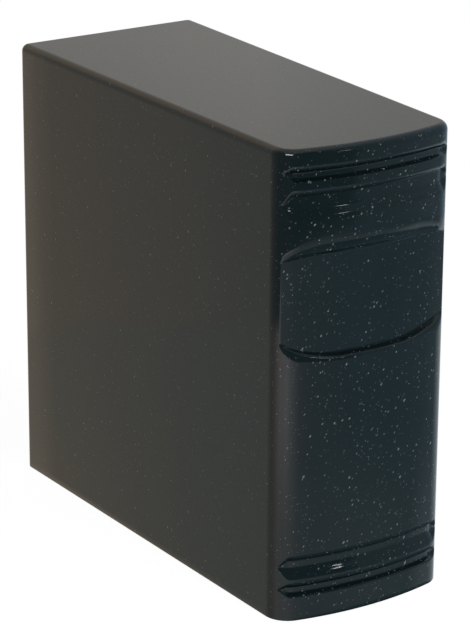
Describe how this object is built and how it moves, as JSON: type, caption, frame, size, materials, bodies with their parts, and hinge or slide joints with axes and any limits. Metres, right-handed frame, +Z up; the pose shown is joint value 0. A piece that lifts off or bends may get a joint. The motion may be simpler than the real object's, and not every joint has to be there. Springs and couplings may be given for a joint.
{
  "type": "cremation urn",
  "caption": "Book-shaped cremation urn cast in polished speckled granite, with a bowed grooved spine, a bare sunken name panel and a closing plate let into its underside.",
  "frame": {"origin": "on the ground plane, under the middle of the urn's box", "axes": "+Z up; the spine faces -Y and the fore-edge +Y; the covers face -X and +X"},
  "size_m": [0.0986, 0.2314, 0.222],
  "materials": {
    "polished_granite": "polished, fine pale flecks",
    "unpolished_granite": "as cast, ground flat, dull"
  },
  "bodies": {
    "root": {"urn_body": "polished_granite", "base_plate": "unpolished_granite"}
  },
  "joints": []
}
